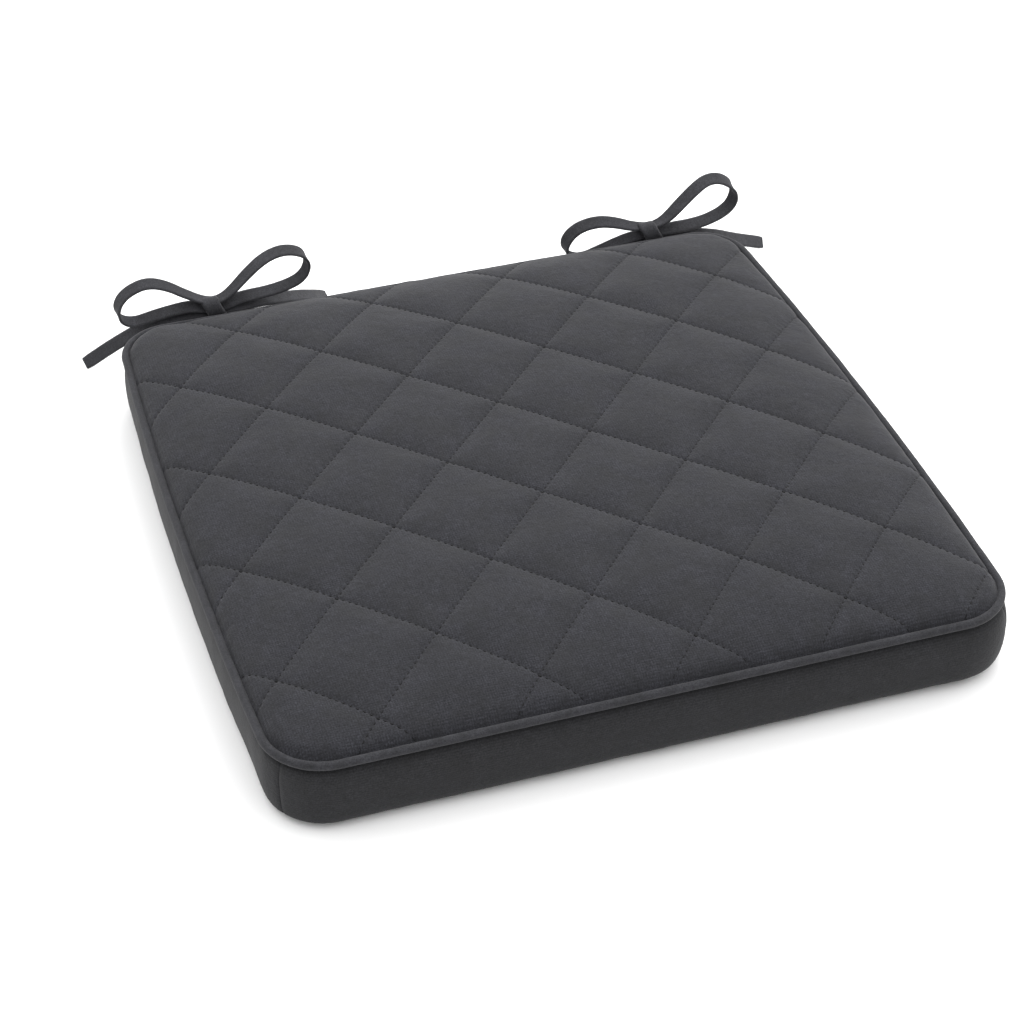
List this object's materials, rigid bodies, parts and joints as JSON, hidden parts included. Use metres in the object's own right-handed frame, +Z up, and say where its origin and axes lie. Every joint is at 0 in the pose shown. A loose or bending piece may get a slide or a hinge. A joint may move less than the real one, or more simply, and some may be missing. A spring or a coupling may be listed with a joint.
{
  "type": "chair seat pad",
  "caption": "Square boxed chair seat pad with a diamond-quilted suede-like top, piped edge, zipped back boxing and fabric ties tied in bows at the back corners.",
  "frame": {"origin": "middle of the underside, on the surface that the pad rests on", "axes": "+Z up, the piped front edge faces -Y, the ties are at the back edge, +Y, and +X is to the right seen from the front"},
  "size_m": [0.4969, 0.5143, 0.0806],
  "materials": {
    "quilted_fabric": "matt suede-like nap",
    "cover_fabric": "matt suede-like nap",
    "piping_fabric": "matt suede-like, cut on the bias",
    "tie_fabric": "matt suede-like, sewn flat tube",
    "thread": "slightly glossy spun polyester",
    "wadding": "open fibre",
    "backing_fabric": "thin nonwoven",
    "piping_filler": "soft twisted cotton",
    "foam": "open-cell polyurethane foam",
    "zip_tape": "woven twill tape",
    "zip_coil": "satin nylon",
    "zip_metal": "dark enamel, worn at the edges"
  },
  "bodies": {
    "root": {"bottom_panel": "cover_fabric", "boxing_front": "cover_fabric", "boxing_left": "cover_fabric", "boxing_right": "cover_fabric", "boxing_back_upper": "cover_fabric", "boxing_back_lower": "cover_fabric", "quilted_top_face": "quilted_fabric", "quilt_wadding": "wadding", "quilt_backing": "backing_fabric", "quilt_stitching": "thread", "piping_cord": "piping_filler", "piping_cover": "piping_fabric", "piping_flange": "piping_fabric", "foam_core": "foam", "fibre_topper": "wadding", "zip_tape_upper": "zip_tape", "zip_tape_lower": "zip_tape", "zip_coil_upper": "zip_coil", "zip_coil_lower": "zip_coil", "zip_stops": "zip_metal", "tie_left_a": "tie_fabric", "tie_left_b": "tie_fabric", "tie_right_a": "tie_fabric", "tie_right_b": "tie_fabric", "tie_left_knot": "tie_fabric", "tie_right_knot": "tie_fabric", "tie_left_root": "tie_fabric", "tie_right_root": "tie_fabric"},
    "zip_slider": {"zip_slider": "zip_metal"},
    "zip_pull": {"zip_pull": "zip_metal"}
  },
  "joints": [
    {"name": "zip_slide", "type": "slide", "parent": "root", "child": "zip_slider", "axis": [-1, 0, 0], "range_m": [0, 0.278]},
    {"name": "zip_pull_hinge", "type": "hinge", "parent": "zip_slider", "child": "zip_pull", "pos_m": [0.139, 0.2203, 0.022], "axis": [0, 0, -1], "range_deg": [0, 180]}
  ]
}
